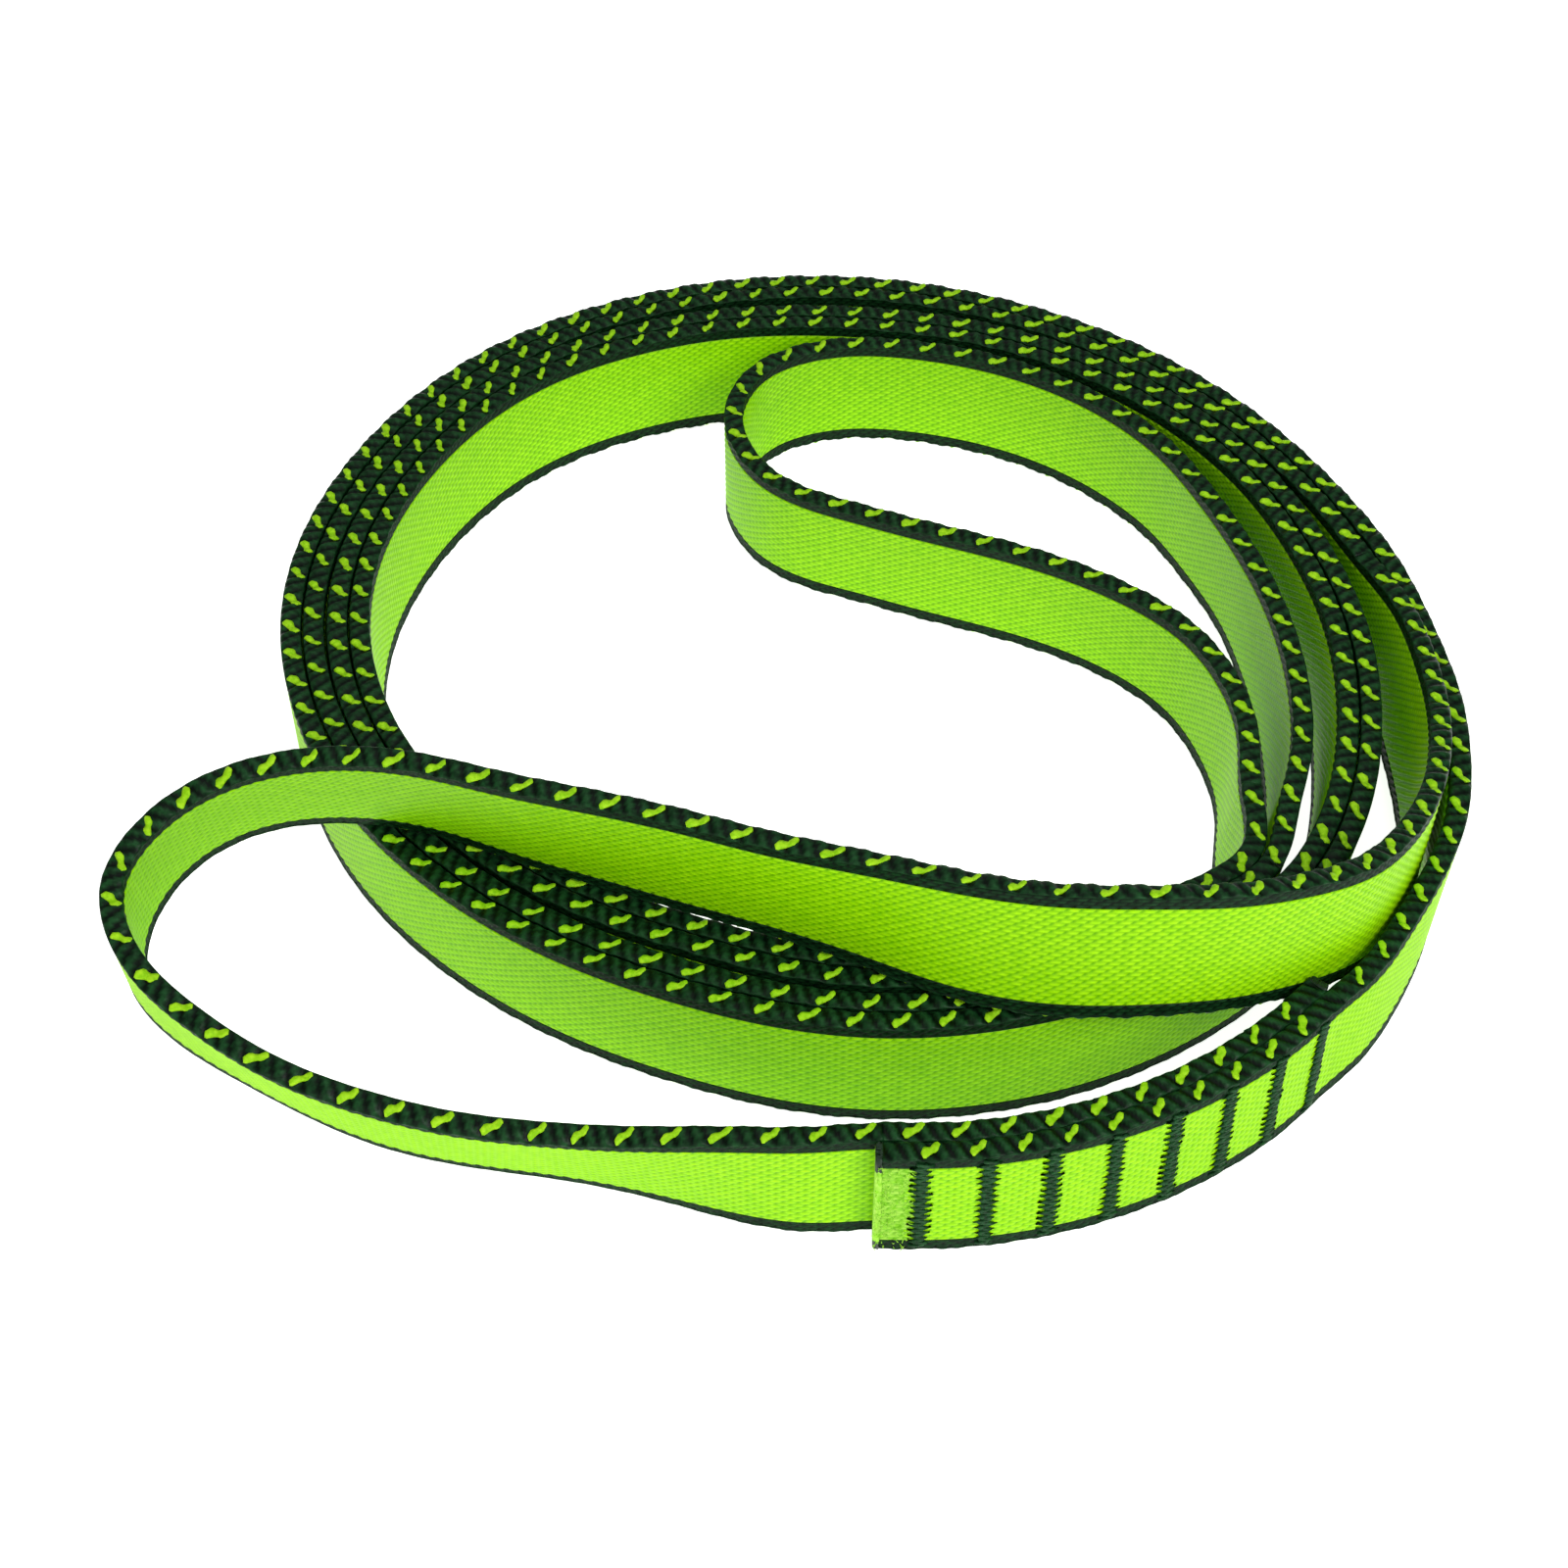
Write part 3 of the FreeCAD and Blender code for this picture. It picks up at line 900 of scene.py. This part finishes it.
inner_end = reaches["inner_lap"][1]
inner_bead = melted_bead("bead", inner_end, 1, fused_edge)
inner_fuzz = fuzz(inner_end - inner_fuzz_reach, inner_end + bead_length,
                  inner_filaments, -1, fused_edge)
finish_piece(join([inner_bead] + inner_fuzz, "inner_lap_melted_end"), "melted_end",
             "inner_lap_sealed_end")

# %% [markdown]
# ## Floor, light and camera
# The sling lies on a pale floor in even studio light: one large soft key from the front right, a
# weaker fill from the left and a bright, even surround. A sun lamp would be simpler, but its hard
# shadows would hide the inner turns. The floor glows, as a backlit product table does, so the
# shadows on it stay soft and pale.

# %% Floor
floor_size = 4.0
floor_drop = 0.0002             # just low enough that only the lowest humps press into it
floor_mesh = bpy.data.meshes.new("floor")
half = floor_size / 2
floor_mesh.from_pydata([(-half, -half, 0), (half, -half, 0), (half, half, 0), (-half, half, 0)],
                       [], [(0, 1, 2, 3)])
floor = bpy.data.objects.new("floor", floor_mesh)
bpy.context.scene.collection.objects.link(floor)
floor.location.z = -floor_drop
# Opal acrylic, lit from below. The eye gets a nearly white ground without any gloss.
table_top = bpy.data.materials.new("backlit white table")
table_top.use_nodes = True
table_shader = table_top.node_tree.nodes["Principled BSDF"]
table_shader.inputs["Base Color"].default_value = linear("#F4F4F4")
table_shader.inputs["Roughness"].default_value = 0.9
table_shader.inputs["Emission Color"].default_value = (1, 1, 1, 1)
table_shader.inputs["Emission Strength"].default_value = 0.90
floor_mesh.materials.append(table_top)
print("floor: %.1f m square" % floor_size)

# %% Lights
def soft_light(name, place, size, watts):
    """A square area light that faces the sling."""
    light = bpy.data.lights.new(name, "AREA")
    light.size = size
    light.energy = watts
    lamp = bpy.data.objects.new(name, light)
    lamp.location = place
    lamp.rotation_euler = (-Vector(place)).to_track_quat("-Z", "Y").to_euler()
    bpy.context.scene.collection.objects.link(lamp)


soft_light("key", (0.32, -0.42, 0.50), 0.30, 2.8)
soft_light("fill", (-0.30, -0.55, 0.35), 0.50, 1.2)
soft_light("top", (0.0, 0.15, 0.80), 0.60, 1.4)
world = bpy.data.worlds.new("surround")
world.use_nodes = True
world.node_tree.nodes["Background"].inputs["Color"].default_value = (1, 1, 1, 1)
world.node_tree.nodes["Background"].inputs["Strength"].default_value = 0.30
bpy.context.scene.world = world
bpy.context.scene.view_settings.view_transform = "Standard"
print("lights:", len(bpy.data.lights))

# %% [markdown]
# The camera looks down on the coil from the front. A long lens from further off would flatten the
# far side of the coil; this one is close enough that the near loop looks larger than the far one.

# %% Camera
camera_place = (-0.0107 + coil_centre[0], -0.2877 + coil_centre[1], 0.2751)
look_down = 45.68               # degrees below level
focal_length = 63.77            # millimetres, on a 36 mm wide sensor
camera_data = bpy.data.cameras.new("camera")
camera_data.lens = focal_length
camera_data.sensor_width = 36.0
camera_data.clip_start = 0.01
camera = bpy.data.objects.new("camera", camera_data)
camera.location = camera_place
camera.rotation_euler = (math.radians(90 - look_down), 0.0, 0.0)
bpy.context.scene.collection.objects.link(camera)
bpy.context.scene.camera = camera
print("camera: %.1f mm lens, %.1f degrees down" % (focal_length, look_down))
